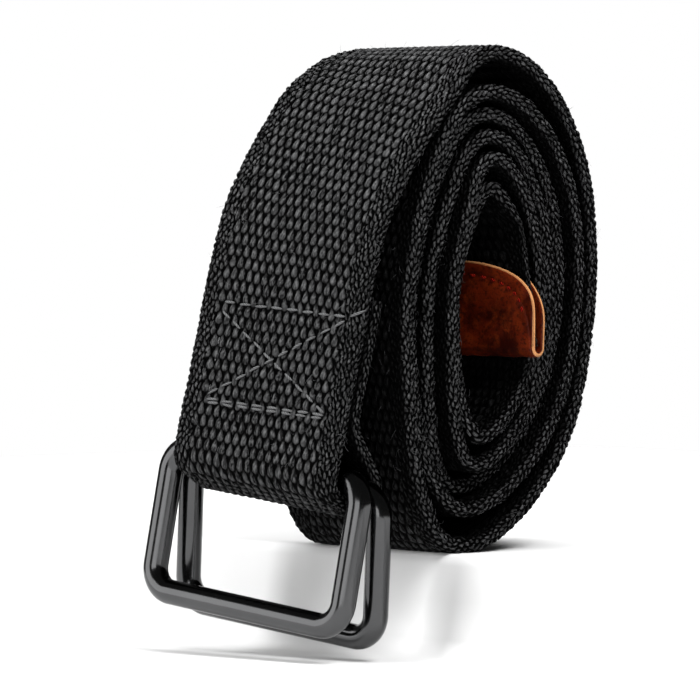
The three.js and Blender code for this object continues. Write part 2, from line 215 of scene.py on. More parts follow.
def roll_stations():
    place = np.linspace(END_TURN, 0, ROLL_STATIONS)
    step = 0.001
    face = roll_face(place)
    ahead = roll_face(place + step) - roll_face(np.maximum(place - step, 0))
    out = unit(np.stack([np.zeros(len(place)), -ahead[:, 1], ahead[:, 0]], -1))
    x = -STRAP_WIDTH * ease_through(SLIDES, 4 * place)
    middle = np.column_stack([x, face]) - out * STRAP_THICKNESS / 2
    middle[:, 2] -= REST_DEPTH
    rests = middle[:, 2] < STRAP_THICKNESS / 2
    middle[rests, 2] = STRAP_THICKNESS / 2
    out[rests] = (0, 0, -1)
    across = np.tile([1.0, 0.0, 0.0], (len(place), 1))
    return middle, across, out, np.full(len(place), STRAP_THICKNESS), place


def across_tail(yaw, skew, out, along):
    sideways = (math.cos(yaw) * math.cos(skew), 0, 0)
    return np.array(sideways) - out * math.sin(yaw) * math.cos(skew) + along * math.sin(skew)


def tip_run(start, heading, steps):
    """The strap's straight inner end, which hangs off the innermost turn."""
    start_lean = math.atan2(heading[1], -heading[2])
    middle = start.copy()
    rows = []
    for i in range(1, steps + 1):
        settled = float(ease_through([0, 1], i / steps / TIP_BEND_SHARE))
        lean = start_lean * (1 - settled)
        along = np.array([0, math.sin(lean), -math.cos(lean)])
        outwards = np.array([0, math.cos(lean), math.sin(lean)])
        across = unit(across_tail(-TIP_YAW * settled, 0, outwards, along))
        out = unit(outwards - across * outwards.dot(across))
        middle = middle + along * TIP_RUN / steps
        middle[0] += TIP_SLIDE / steps
        thickness = STRAP_THICKNESS + (PINCHED_THICKNESS - STRAP_THICKNESS) * settled
        rows.append((middle, across, out, thickness, settled))
    return rows


def spline_point(points, share):
    place = (len(points) - 1) * share
    i = min(int(place), len(points) - 1)
    w = place - i
    p0, p1 = points[max(i - 1, 0)], points[i]
    p2, p3 = points[min(i + 1, len(points) - 1)], points[min(i + 2, len(points) - 1)]
    v0, v1 = (p2 - p0) / 2, (p3 - p1) / 2
    return (2 * p1 - 2 * p2 + v0 + v1) * w ** 3 + (-3 * p1 + 3 * p2 - 2 * v0 - v1) * w ** 2 + v0 * w + p1


def shoulder_run(steps):
    """The tail's way from the outer top over the front shoulder to where it runs straight."""
    rows = [np.array([-reach, height]) * ROLL_HEIGHT for height, reach in TAIL_ROWS]
    points = [roll_face(0.04)] + rows
    first = 1 / len(rows)
    nudge = 0.0001
    x = run = 0.0
    before = spline_point(points, first)
    found = []
    for i in range(1, steps + 1):
        share = first + (1 - first) * i / steps
        point = spline_point(points, share)
        heading = unit(spline_point(points, min(share + nudge, 1)) - spline_point(points, share - nudge))
        step = np.linalg.norm(point - before)
        run += step
        before = point
        yaw = TAIL_YAW * float(ease_through([0, 1], run / TAIL_TURN_RUN))
        skew = TAIL_SKEW * float(ease_through([0, 1], run / TAIL_SKEW_RUN))
        along = np.array([0, heading[0], heading[1]])
        outwards = np.array([0, heading[1], -heading[0]])
        x -= math.tan(skew) * step
        across = unit(across_tail(yaw, skew, outwards, along))
        out = unit(np.cross(along, across))
        middle = np.array([x, point[0], point[1] - REST_DEPTH]) - outwards * STRAP_THICKNESS / 2
        found.append((middle, across, out, STRAP_THICKNESS, along, run))
    return found


coarse_shoulder = shoulder_run(TAIL_STEPS)
shoulder_end = coarse_shoulder[-1]
ACROSS = shoulder_end[1]
DOWN = unit(shoulder_end[4] - ACROSS * shoulder_end[4].dot(ACROSS))
OUT = np.cross(DOWN, ACROSS)
BEND_REACH = WIRE / 2 + BAR_CLEARANCE + SEWN_THICKNESS / 2
TAIL_RUN = (shoulder_end[0][2] - FOLD_HEIGHT - BEND_REACH * OUT[2]) / -DOWN[2]
FRONT_BAR = shoulder_end[0] + DOWN * TAIL_RUN - OUT * BEND_REACH


def hang_point(outward, drop):
    return FRONT_BAR + OUT * outward + DOWN * drop


BACK_BAR = hang_point(-BACK_BAR_BEHIND, BACK_BAR_BELOW)


def rise_angle(flap_out):
    rise = 0.5
    for _ in range(30):
        start_out = -BACK_BAR_BEHIND - BEND_REACH * math.cos(rise)
        start_drop = BACK_BAR_BELOW - BEND_REACH * math.sin(rise)
        rise = math.atan2(flap_out - start_out, start_drop + FLAP_CONTACT_RISE)
    return rise


def fold_run():
    """The straight tail, the fold round both bars, the rise behind them and the sewn flap."""
    rows = []

    def add(outward, drop, turned, thickness=SEWN_THICKNESS):
        facing = OUT * math.cos(turned) + DOWN * math.sin(turned)
        rows.append((hang_point(outward, drop), ACROSS, facing, thickness))

    for share in np.linspace(0, 1, TAIL_STRAIGHT_STEPS)[1:]:
        thickness = STRAP_THICKNESS + (SEWN_THICKNESS - STRAP_THICKNESS) * share
        add(BEND_REACH, -TAIL_RUN * (1 - share), 0, thickness)
    under = math.atan2(BACK_BAR_BEHIND, BACK_BAR_BELOW)
    for turned in np.linspace(0, under, FRONT_BEND_STEPS)[1:]:
        add(BEND_REACH * math.cos(turned), BEND_REACH * math.sin(turned), turned)
    flap_out = BEND_REACH - SEWN_THICKNESS - FLAP_GAP
    rise = rise_angle(flap_out)
    for turned in np.linspace(under, math.pi + rise, BACK_BEND_STEPS):
        outward = -BACK_BAR_BEHIND + BEND_REACH * math.cos(turned)
        add(outward, BACK_BAR_BELOW + BEND_REACH * math.sin(turned), turned)
    bend_start = -FLAP_CONTACT_RISE - FLAP_BEND_RADIUS * math.tan(rise / 2)
    for left in np.linspace(rise, 0, FLAP_BEND_STEPS):
        outward = flap_out - FLAP_BEND_RADIUS * (1 - math.cos(left))
        add(outward, bend_start + FLAP_BEND_RADIUS * math.sin(left), math.pi + left)
    for drop in np.linspace(bend_start, -FLAP_END_RISE, FLAP_STEPS)[1:]:
        add(flap_out, drop, math.pi)
    return rows


class Path:
    """The whole strap from its leather end to its sewn end, by its run in millimetres."""

    def __init__(self):
        roll = roll_stations()
        start, heading = roll[0][0], unit(roll[0][0] - roll[0][1])
        coarse_end = tip_run(start, heading * [0, 1, 1], TIP_STEPS)[-1][0]
        fine = tip_run(start, heading * [0, 1, 1], FINER_TIP * TIP_STEPS)
        mend = coarse_end - fine[-1][0]
        tip = [(m + mend * settled, a, o, t) for m, a, o, t, settled in fine][::-1]
        shoulder = shoulder_run(FINER_SHOULDER * TAIL_STEPS)
        slip, whole = shoulder_end[0] - shoulder[-1][0], shoulder[-1][5]
        tail = [(m + slip * run / whole, a, o, t) for m, a, o, t, _, run in shoulder]
        parts = [tip, list(zip(*roll[:4])), tail, fold_run()]
        rows = [row for part in parts for row in part]
        self.middle, self.across, self.out = (np.array([row[k] for row in rows]) for k in range(3))
        self.thickness = np.array([row[3] for row in rows])
        gaps = np.linalg.norm(np.diff(self.middle, axis=0), axis=1)
        self.run = np.concatenate([[0], np.cumsum(gaps)])
        keep = np.concatenate([[True], gaps > 1e-6])
        for name in ("middle", "across", "out", "thickness", "run"):
            setattr(self, name, getattr(self, name)[keep])
        self.length = self.run[-1]
        places = self.run[len(tip): len(tip) + len(roll[4])]
        self.turn_runs = np.interp([1.0, 0.0], roll[4][::-1], places[::-1])
        self.tail_start = self.run[len(tip) + len(roll[4]) + len(tail)]

    def sample(self, table, runs):
        return np.stack([np.interp(runs, self.run, table[:, k]) for k in range(3)], -1)

    def at(self, runs):
        """The strap's middle, its way across, its way out and its thickness, at each of the runs."""
        middle, across = self.sample(self.middle, runs), unit(self.sample(self.across, runs))
        out = self.sample(self.out, runs)
        out = unit(out - across * np.sum(out * across, -1, keepdims=True))
        return middle, across, out, np.interp(runs, self.run, self.thickness)

    def here(self, run):
        """The same at one run."""
        return tuple(found[0] for found in self.at(np.array([run])))


PATH = Path()
FRONT_BAR_RUN = PATH.tail_start + TAIL_RUN
TURN_ONE_RUN = float(PATH.turn_runs[0])
OUTER_TURN = float(PATH.turn_runs[1]) - TURN_ONE_RUN


def wander(values, seed, size):
    """A slow smooth wobble along the strap."""
    draw = np.random.default_rng(seed)
    total = np.zeros(np.shape(values))
    for wavelength, amount in WOBBLES:
        total = total + amount * np.sin(2 * np.pi * values / wavelength + draw.uniform(0, 6.28))
    return total * size


def wrap(values):
    return values - np.round(values)


def float_dome(u, v):
    """One float of yarn: a teardrop, u in pitches and v in rows from its middle, pointed at its top."""
    share = np.clip((v + 1) / FLOAT_ROWS, 0, 1)
    blunt = np.sqrt(np.clip(1 - share ** FLOAT_BLUNTNESS, 0, 1))
    width = np.maximum(FLOAT_WIDTH * share ** FLOAT_TAPER * blunt, SLIMMEST_FLOAT)
    return np.clip(share * FLOAT_RISE, 0, 1) * blunt * np.sqrt(np.clip(1 - (u / width) ** 2, 0, 1))


def weave_height(u, v):
    first = float_dome(wrap(u), 2 * wrap(v / 2))
    second = float_dome(wrap(u + 0.5), 2 * wrap((v + 1) / 2))
    return np.maximum(first, second)


def selvedge_uv(p, run):
    """The selvedge's finer yarns lean to and fro."""
    (lean, lean_rate), (slant, slant_rate) = LEAN_ALONG, LEAN_SLANTED
    (across, across_rate), (along, along_rate) = SWAY_ACROSS, SWAY_ALONG
    u = p / SELVEDGE_PITCH + lean * np.sin(run * lean_rate) + slant * np.sin(run * slant_rate + p)
    v = run / SELVEDGE_ROW + across * np.sin(p * across_rate) + along * np.sin(run * along_rate)
    return u, v


def selvedge_share(p):
    away = np.minimum(np.abs(p), np.abs(p - INNER_FACE_OFFSET))
    return np.clip((away - SELVEDGE_START) / SELVEDGE_BLEND + 0.5, 0, 1)


# The box of stitches on the tail
# Corners in millimetres: (across the strap, above the front ring's bar)
BOX_TOP_LEFT, BOX_TOP_RIGHT = (-13.4, 27.1), (16.4, 28.2)
BOX_LOW_LEFT, BOX_LOW_RIGHT = (-13.4, 9.6), (15.6, 10.6)
BOX_LINES = [
    {"from": BOX_TOP_LEFT, "to": BOX_TOP_RIGHT, "count": 8},
    {"from": BOX_LOW_LEFT, "to": BOX_LOW_RIGHT, "count": 8},
    {"from": (-12.9, 9.0), "to": (15.2, 10.0), "count": 8},
    {"from": BOX_TOP_LEFT, "to": BOX_LOW_LEFT, "count": 6},
    {"from": BOX_TOP_RIGHT, "to": BOX_LOW_RIGHT, "count": 6},
    {"from": (-13.4, 25.6), "to": (15.4, 10.6), "count": 10},
    {"from": (-13.2, 10.4), "to": (16.2, 27.8), "count": 10},
]
# The stretches, above the front bar and below the flap's end, where the seams dent the cloth
TAIL_DENTED, FLAP_DENTED = (4, 34), 26
# The shares of its length between which a stitch shows, and how far its ends lie in the cloth
STITCH_SHARES = (0.06, 0.76)
STITCH_SUNK, UPRIGHT_SUNK = -0.14, -0.85
STITCH_DENT = 0.3
STITCH_DENT_WIDTH = 0.75


def stitch_dent(side, run):
    """How far the box's seams pull the cloth in, for points on the tail's face."""
    above = FRONT_BAR_RUN - run
    nearest = np.full(np.shape(side), np.inf)
    for line in BOX_LINES:
        (s0, h0), (s1, h1) = line["from"], line["to"]
        ds, dh = s1 - s0, h1 - h0
        share = np.clip(((side - s0) * ds + (above - h0) * dh) / (ds * ds + dh * dh), 0, 1)
        nearest = np.minimum(nearest, np.hypot(side - s0 - share * ds, above - h0 - share * dh))
    return STITCH_DENT * np.exp(-(nearest / STITCH_DENT_WIDTH) ** 2)


# Mesh helpers
def add_object(name, vertices, faces, material):
    """A smooth mesh object at the origin, from points in millimetres."""
    mesh = bpy.data.meshes.new(name)
    mesh.from_pydata((np.asarray(vertices) * MM).tolist(), [], faces)
    mesh.validate()
    mesh.materials.append(material)
    mesh.polygons.foreach_set("use_smooth", np.ones(len(mesh.polygons), bool))
    obj = bpy.data.objects.new(name, mesh)
    bpy.context.scene.collection.objects.link(obj)
    return obj


def grid_faces(rows, columns, closed):
    """Quads of a grid of rows by columns, with the last column joined to the first if closed."""
    spans = columns if closed else columns - 1
    r, c = np.meshgrid(np.arange(rows - 1), np.arange(spans), indexing="ij")
    n = (c + 1) % columns
    low, high = r * columns, (r + 1) * columns
    return np.stack([low + c, low + n, high + n, high + c], -1).reshape(-1, 4)


def edge_arc(steps):
    """The selvedge's section from the outer face to the inner: side, level, normal and the way gone."""
    phi = np.linspace(0, np.pi, steps + 1)
    side = HALF_FLAT + EDGE_ROUNDING * np.sin(phi) ** EDGE_FULLNESS
    level = np.sign(np.cos(phi)) * np.abs(np.cos(phi)) ** EDGE_LEVELNESS
    normal = unit(np.stack([np.sin(phi), np.cos(phi)], -1))
    gaps = np.hypot(np.diff(side), np.diff(level) * STRAP_THICKNESS / 2)
    return side, level, normal, np.concatenate([[0], np.cumsum(gaps)])


def section(near_steps, far_steps, outer, inner):
    """The strap's section, from the faces' points across: side, level, normal, place round it, next place."""
    rows = [(a, 1, (0, 1), a, b) for a, b in zip(outer[:-1], outer[1:])]
    side, level, normal, gone = edge_arc(near_steps)
    for k in range(near_steps):
        rows.append((side[k], level[k], normal[k], HALF_FLAT + gone[k], HALF_FLAT + gone[k + 1]))
    back = inner[::-1]
    for a, b in zip(back[:-1], back[1:]):
        rows.append((a, -1, (0, -1), INNER_FACE_OFFSET + a, INNER_FACE_OFFSET + b))
    side, level, normal, gone = edge_arc(far_steps)
    for k in range(far_steps, 0, -1):
        mirrored = (-normal[k][0], normal[k][1])
        rows.append((-side[k], level[k], mirrored, -HALF_FLAT - gone[k], -HALF_FLAT - gone[k - 1]))
    return tuple(np.array(column, float) for column in zip(*rows))


def strap_relief(run, p, side, level):
    """How far the cloth stands out of its plain section: the weave, less the dents of the seams."""
    drift = wander(run, DRIFT_SEED, WEAVE_DRIFT)
    rows = run / ROW_PITCH + wander(p, ROW_SEED, WEAVE_DRIFT)
    height = weave_height((p + drift) / FLOAT_PITCH, rows)
    fine = weave_height(*selvedge_uv(p + drift, run))
    share = selvedge_share(p)
    raised = FLOAT_PROUD - (1 - height) * WEAVE_RELIEF * (1 - share) - (1 - fine) * SELVEDGE_RELIEF * share
    outer_face = (level > 0.99)[None, :]
    sides = np.broadcast_to(side, run.shape)
    above_bar = FRONT_BAR_RUN - run
    on_tail = outer_face & (above_bar < TAIL_DENTED[1]) & (above_bar > TAIL_DENTED[0])
    raised = raised - np.where(on_tail, stitch_dent(sides, run), 0)
    on_flap = outer_face & (run > PATH.length - FLAP_DENTED)
    mirrored = FRONT_BAR_RUN - run + PATH.length - FLAP_END_RISE
    return raised - np.where(on_flap, stitch_dent(sides, mirrored), 0)


def map_strap(obj, runs, p, ahead):
    """Lays the strap's own map on a piece, with the weave's drift and waver in it as in the relief."""
    columns = len(p)
    r = np.repeat(np.arange(len(runs) - 1), columns)
    c = np.tile(np.arange(columns), len(runs) - 1)
    drift = wander(runs, DRIFT_SEED, WEAVE_DRIFT)
    u = np.stack([p[c] + drift[r], ahead[c] + drift[r], ahead[c] + drift[r + 1], p[c] + drift[r + 1]], -1)
    near, far = (wander(place, ROW_SEED, WEAVE_DRIFT)[c] * ROW_PITCH for place in (p, ahead))
    v = np.stack([runs[r] + near, runs[r] + far, runs[r + 1] + far, runs[r + 1] + near], -1)
    wall = np.stack([u, v], -1).reshape(-1, 2)
    ends = np.tile([[SELVEDGE_START + 1, runs[0]]], (2 * columns, 1))
    layer = obj.data.uv_layers.new(name="strap")
    layer.data.foreach_set("uv", np.concatenate([wall, ends]).astype(np.float32).ravel())


def webbing_piece(name, start, end, spacing, shape, material):
    """A stretch of the strap with its weave raised on it, closed at both ends."""
    count = int(round((end - start) / spacing)) + 1
    runs = np.linspace(start, end, count)
    middle, across, out, thickness = PATH.at(runs)
    side, level, normal, p, ahead = shape
    run_grid, p_grid = np.meshgrid(runs, p, indexing="ij")
    raised = strap_relief(run_grid, p_grid, side, level)
    near_edge = np.clip((np.abs(side) - WOBBLE_START) / WOBBLE_RISE, 0, 1)[None, :]
    wobble = wander(run_grid, EDGE_SEED, EDGE_WOBBLE) * near_edge
    s = side[None, :] + normal[None, :, 0] * raised + wobble * np.sign(side)[None, :]
    lift = level[None, :] * thickness[:, None] / 2 + normal[None, :, 1] * raised
    points = middle[:, None] + across[:, None] * s[..., None] + out[:, None] * lift[..., None]
    columns = len(side)
    faces = grid_faces(count, columns, True).tolist()
    faces.append(list(range(columns)))
    faces.append(list(range((count - 1) * columns, count * columns))[::-1])
    obj = add_object(name, points.reshape(-1, 3), faces, material)
    map_strap(obj, runs, p, ahead)
    turn_outwards(obj)
    return obj


def turn_outwards(obj):
    """Flips the faces if the closed mesh's volume comes out negative."""
    mesh = obj.data
    mesh.calc_loop_triangles()
    corners = np.empty(len(mesh.loop_triangles) * 3, np.int32)
    mesh.loop_triangles.foreach_get("vertices", corners)
    points = np.empty(len(mesh.vertices) * 3, np.float32)
    mesh.vertices.foreach_get("co", points)
    tris = points.reshape(-1, 3)[corners.reshape(-1, 3)].astype(float)
    if np.sum(tris[:, 0] * np.cross(tris[:, 1], tris[:, 2])) < 0:
        mesh.flip_normals()


# Shader helpers
class Value:
    """What a node gives out. Reckoning with it adds the math nodes for that."""

    def __init__(self, tree, socket):
        self.tree, self.socket = tree, socket

    def step(self, operation, other=None):
        return reckon(self.tree, operation, self, other)

    def __add__(self, other):
        return self.step("ADD", other)

    def __sub__(self, other):
        return self.step("SUBTRACT", other)

    def __rsub__(self, other):
        return reckon(self.tree, "SUBTRACT", other, self)

    def __mul__(self, other):
        return self.step("MULTIPLY", other)

    def __truediv__(self, other):
        return self.step("DIVIDE", other)

    def __pow__(self, other):
        return self.step("POWER", other)

    def __abs__(self):
        return self.step("ABSOLUTE")

    def clamped(self):
        """Keeps the last step between 0 and 1."""
        self.socket.node.use_clamp = True
        return self


def put(part, socket):
    """Links a value to a socket, or sets a number or a color on it."""
    if isinstance(part, Value):
        part.tree.links.new(part.socket, socket)
    else:
        socket.default_value = (*part, 1) if isinstance(part, tuple) else part


def reckon(tree, operation, first, second):
    node = tree.nodes.new("ShaderNodeMath")
    node.operation = operation
    put(first, node.inputs[0])
    if second is not None:
        put(second, node.inputs[1])
    return Value(tree, node.outputs[0])


def shader_group(name, inputs, outputs):
    """An empty group, its inputs' values by name and its outputs. All are numbers but one called Vector."""
    tree = bpy.data.node_groups.new(name, "ShaderNodeTree")
    for direction, names in (("INPUT", inputs), ("OUTPUT", outputs)):
        for socket in names:
            kind = "NodeSocketVector" if socket == "Vector" else "NodeSocketFloat"
            tree.interface.new_socket(socket, in_out=direction, socket_type=kind)
    start, end = tree.nodes.new("NodeGroupInput").outputs, tree.nodes.new("NodeGroupOutput").inputs
    return tree, {socket: Value(tree, start[socket]) for socket in inputs}, end


def place_group(group, **parts):
    """Places a group in the tree of the first of its parts. Its outputs' values come back by name."""
    tree = next(iter(parts.values())).tree
    node = tree.nodes.new("ShaderNodeGroup")
    node.node_tree = group
    for socket, part in parts.items():
        put(part, node.inputs[socket])
    return {output.name: Value(tree, output) for output in node.outputs}


def mix_colors(share, first, second):
    node = share.tree.nodes.new("ShaderNodeMix")
    node.data_type = "RGBA"
    for index, part in ((0, share), (6, first), (7, second)):
        put(part, node.inputs[index])
    return Value(share.tree, node.outputs[2])


def ramp(value, low, high, low_out=0.0, high_out=1.0):
    node = value.tree.nodes.new("ShaderNodeMapRange")
    node.interpolation_type = "SMOOTHSTEP"
    for index, part in enumerate((value, low, high, low_out, high_out)):
        put(part, node.inputs[index])
    return Value(value.tree, node.outputs[0])


def noise(vector, scale, detail=2.0, roughness=0.5, distortion=0.0):
    node = vector.tree.nodes.new("ShaderNodeTexNoise")
    parts = {"Vector": vector, "Scale": scale, "Detail": detail,
             "Roughness": roughness, "Distortion": distortion}
    for socket, part in parts.items():
        put(part, node.inputs[socket])
    return Value(vector.tree, node.outputs["Fac"])


def object_place(tree):
    return Value(tree, tree.nodes.new("ShaderNodeTexCoord").outputs["Object"])


def principled(name, **constants):
    material = bpy.data.materials.new(name)
    material.use_nodes = True
    shader = material.node_tree.nodes["Principled BSDF"]
    for socket, value in constants.items():
        shader.inputs[socket.replace("_", " ")].default_value = value
    return material, material.node_tree, shader


def bump(shader, height, strength, distance):
    node = height.tree.nodes.new("ShaderNodeBump")
    for socket, part in (("Strength", strength), ("Distance", distance), ("Height", height)):
        put(part, node.inputs[socket])
    put(Value(height.tree, node.outputs["Normal"]), shader.inputs["Normal"])


def make_dome_group():
    """One lattice of floats: a float's height at a place, and a random tone for each float."""
    tree, given, wanted = shader_group("yarn_floats", ["Across", "Along"], ["Height", "Tone"])
    across, along = given["Across"], given["Along"] * 0.5
    column, row = across.step("ROUND"), along.step("ROUND")
    u, v = across - column, (along - row) * 2.0
    share = ((v + 1.0) / FLOAT_ROWS).clamped()
    blunt = (1.0 - share ** FLOAT_BLUNTNESS).clamped().step("SQRT")
    width = (share ** FLOAT_TAPER * FLOAT_WIDTH * blunt).step("MAXIMUM", SLIMMEST_FLOAT)
    part = u / width
    rest = (1.0 - part * part).clamped()
    height = (share * FLOAT_RISE).clamped() * blunt * rest.step("SQRT")
    cell = tree.nodes.new("ShaderNodeCombineXYZ")
    put(column, cell.inputs[0])
    put(row, cell.inputs[1])
    random = tree.nodes.new("ShaderNodeTexWhiteNoise")
    random.noise_dimensions = "2D"
    tree.links.new(cell.outputs[0], random.inputs["Vector"])
    put(height, wanted["Height"])
    put(Value(tree, random.outputs["Value"]), wanted["Tone"])
    return tree


def make_weave_group(domes):
    """Two lattices half a pitch apart: the higher float shows."""
    tree, given, wanted = shader_group("brick_weave", ["Across", "Along"], ["Height", "Tone"])
    across, along = given["Across"], given["Along"]
    first = place_group(domes, Across=across, Along=along)
    second = place_group(domes, Across=across + 0.5, Along=along + 1.0)
    higher = second["Height"].step("GREATER_THAN", first["Height"])
    put(first["Height"].step("MAXIMUM", second["Height"]), wanted["Height"])
    put(first["Tone"] + (second["Tone"] - first["Tone"]) * higher, wanted["Tone"])
    return tree


def make_ply_group():
    """The fine twist of a yarn: short slanting streaks, by a vector in millimetres. In the colour the light
    streaks are also a painted highlight.
    """
    tree, given, wanted = shader_group("yarn_ply", ["Vector", "Fineness"], ["Streaks"])
    mapping = tree.nodes.new("ShaderNodeMapping")
    mapping.inputs["Rotation"].default_value = (0, 0, math.radians(32))
    mapping.inputs["Scale"].default_value = (1.0, 0.42, 1.0)
    put(given["Vector"], mapping.inputs["Vector"])
    streaks = noise(Value(tree, mapping.outputs["Vector"]), given["Fineness"], 2.5, 0.6)
    put(ramp(streaks, 0.39, 0.62), wanted["Streaks"])
    return tree


BRICK_WEAVE = make_weave_group(make_dome_group())
YARN_PLY = make_ply_group()


def strap_coordinates(tree):
    """The strap's map: as a vector, across the strap and along it."""
    uv = tree.nodes.new("ShaderNodeUVMap")
    uv.uv_map = "strap"
    parts = tree.nodes.new("ShaderNodeSeparateXYZ")
    tree.links.new(uv.outputs["UV"], parts.inputs[0])
    return [Value(tree, output) for output in (uv.outputs["UV"], *parts.outputs[:2])]


def sine(value, rate, size):
    return (value * rate).step("SINE") * size


def fine_weave(p, run):
    """The selvedge's finer weave, leaning to and fro as in selvedge_uv."""
    (lean, lean_rate), (slant, slant_rate) = LEAN_ALONG, LEAN_SLANTED
    leaning = sine(run, lean_rate, lean) + (run * slant_rate + p).step("SINE") * slant
    (across, across_rate), (along, along_rate) = SWAY_ACROSS, SWAY_ALONG
    sway = sine(p, across_rate, across) + sine(run, along_rate, along)
    u, v = p * (1 / SELVEDGE_PITCH) + leaning, run * (1 / SELVEDGE_ROW) + sway
    return place_group(BRICK_WEAVE, Across=u, Along=v)


def painted_turn_shade(p, run, nearest):
    """Painted shade where little light gets in between the turns: only the middle of each edge stays light.
    """
    edge_light = ramp(abs(nearest - EDGE_MIDDLE), 0.75, 1.9, 1.0, FACE_SHADE)
    # Painted shade on the inner turns and the strap's inner face, and a painted shadow on the outer turn's
    # front behind the tail
    shade_start, shade_end = (TURN_ONE_RUN + share * OUTER_TURN for share in SHADE_SHARES)
    tail_shadow_share = ramp(run, shade_start, shade_end, 1.0, 0.0)
    rolled_in = tail_shadow_share.step("MAXIMUM", p.step("GREATER_THAN", EDGE_MIDDLE))
    return (1.0 - edge_light) * rolled_in


def webbing_material():
    material, tree, shader = principled("black_webbing", Roughness=0.8, Specular_IOR_Level=0.03)
    uv, p, run = strap_coordinates(tree)
    main = place_group(BRICK_WEAVE, Across=p * (1 / FLOAT_PITCH), Along=run * (1 / ROW_PITCH))
    fine = fine_weave(p, run)
    nearest = abs(p).step("MINIMUM", abs(p - INNER_FACE_OFFSET))
    half_blend = SELVEDGE_BLEND / 2
    share = ramp(nearest, SELVEDGE_START - half_blend, SELVEDGE_START + half_blend)
    height, tone = (main[name] + (fine[name] - main[name]) * share for name in ("Height", "Tone"))
    ply = place_group(YARN_PLY, Vector=uv, Fineness=PLY_FINENESS)["Streaks"]
    patches = noise(uv, 0.35, 3.0)
    crumbs = ramp(noise(uv, CRUMB_FINENESS, 3.0, 0.65), 0.4, 0.6, 0.15, 1.0)
    crumbled = (1.0 - crumbs) * share * CRUMB_DEPTH
    # Painted shade: where a float sinks into the cloth, and in the selvedge's crumbs, the colour goes to near
    # black
    raised = (ramp(height, 0.28, 0.98) - crumbled).clamped()
    # The yarn's twist, with a painted highlight on its light streaks
    yarn = mix_colors(ply, YARN_DARK, YARN_STREAK_HIGHLIGHT)
    lighter = tone * ramp(patches, 0.25, 0.75, 0.35, 0.9)
    yarn = mix_colors(lighter * WORN_SHARE, yarn, YARN_WORN)
    color = mix_colors(raised, WEAVE_GAP_SHADE, yarn)
    # Painted shade between the turns and painted shadow behind the tail, mixed into the colour
    color = mix_colors(painted_turn_shade(p, run, nearest), color, TURN_SHADOW)
    put(color, shader.inputs["Base Color"])
    put(ramp(ply, 0, 1, 0.88, 0.68), shader.inputs["Roughness"])
    bump(shader, height * 0.6 + ply * 0.4, 1.0, 0.0006)
    return material


def thread_material(name, dark, light, gloss):
    """Twisted sewing thread: its turns run round each stitch, by the UV map of the stitches."""
    material, tree, shader = principled(name, Roughness=0.62, Specular_IOR_Level=gloss)
    uv = tree.nodes.new("ShaderNodeUVMap")
    uv.uv_map = "thread"
    wave = tree.nodes.new("ShaderNodeTexWave")
    wave.bands_direction = "DIAGONAL"
    tree.links.new(uv.outputs["UV"], wave.inputs["Vector"])
    for socket, number in (("Scale", 1.1), ("Distortion", 1.2), ("Detail", 2.0)):
        wave.inputs[socket].default_value = number
    twist = Value(tree, wave.outputs["Fac"])
    put(mix_colors(twist, dark, light), shader.inputs["Base Color"])
    put(ramp(twist, 0, 1, 0.75, 0.5), shader.inputs["Roughness"])
    bump(shader, twist, 0.7, 0.00012)
    return material


def ring_material():
    """Black nickel: dark, glossy, with the faintest polish marks and wear on it."""
    material, tree, shader = principled("black_nickel", Metallic=1.0, Roughness=0.12)
    place = object_place(tree)
    cloud, grain = noise(place, 90, 4.0, 0.6), noise(place, 1400, 2.0, 0.5)
    tint = mix_colors(cloud, (0.058, 0.0585, 0.060), (0.086, 0.0865, 0.088))
    put(tint, shader.inputs["Base Color"])
    put(cloud * 0.09 + grain * 0.05 + 0.09, shader.inputs["Roughness"])
    bump(shader, grain * 0.2 + cloud, 0.12, 0.00008)
    return material


def leather_material():
    """Oiled brown leather: reddish, mottled and pored, with a pale raw edge."""
    material, tree, shader = principled("brown_leather", Roughness=0.45, Specular_IOR_Level=0.16,
                                        Coat_Roughness=0.3)
    place = object_place(tree)
    attribute = tree.nodes.new("ShaderNodeAttribute")
    attribute.attribute_name = "raw_edge"
    raw = Value(tree, attribute.outputs["Fac"])
    cloud = noise(place, 130, 5.0, 0.62, 0.6)
    mottle = noise(place, 480, 4.0, 0.6)
    pores = noise(place, 2100, 3.0, 0.6)
    color = mix_colors(ramp(cloud, 0.34, 0.66), (0.014, 0.0011, 0.0003), (0.088, 0.0088, 0.0014))
    color = mix_colors(ramp(mottle, 0.45, 0.75, 0.0, 0.55), color, (0.135, 0.019, 0.0028))
    color = mix_colors(ramp(pores, 0.5, 0.66, 0.0, 0.72), color, (0.008, 0.002, 0.0008))
    edge = ramp(raw + mottle * 0.25, 0.62, 0.95)
    color = mix_colors(edge, color, (0.42, 0.19, 0.075))
    put(color, shader.inputs["Base Color"])
    put(cloud * 0.25 + 0.28 + edge * 0.3, shader.inputs["Roughness"])
    put((1.0 - edge) * 0.04, shader.inputs["Coat Weight"])
    bump(shader, pores * -0.5 + mottle * 0.7, 0.55, 0.00025)
    return material


# Webbing
def face_points(fine_from, fine, middle_step):
    """Points across a face: fine near both edges, wider in its middle."""
    steps = max(int(round((HALF_FLAT - fine_from) / fine)), 1)
    outside = np.linspace(fine_from, HALF_FLAT, steps + 1)
    middle = np.linspace(-fine_from, fine_from, int(round(2 * fine_from / middle_step)) + 1)
    return np.concatenate([-outside[::-1], middle[1:-1], outside])


WEBBING = webbing_material()
# The faces' points lie close where the weave shows and wide where another turn covers them
outer_shape = section(11, 7, face_points(15.6, 0.36, 0.45), face_points(15.0, 0.62, 3.75))
inner_shape = section(11, 6, face_points(14.8, 0.55, 3.7), face_points(14.8, 0.42, 1.2))
outer_webbing = webbing_piece("webbing_outer", TURN_ONE_RUN, PATH.length, 0.455, outer_shape, WEBBING)
inner_webbing = webbing_piece("webbing_inner", 0.0, TURN_ONE_RUN, 0.5, inner_shape, WEBBING)


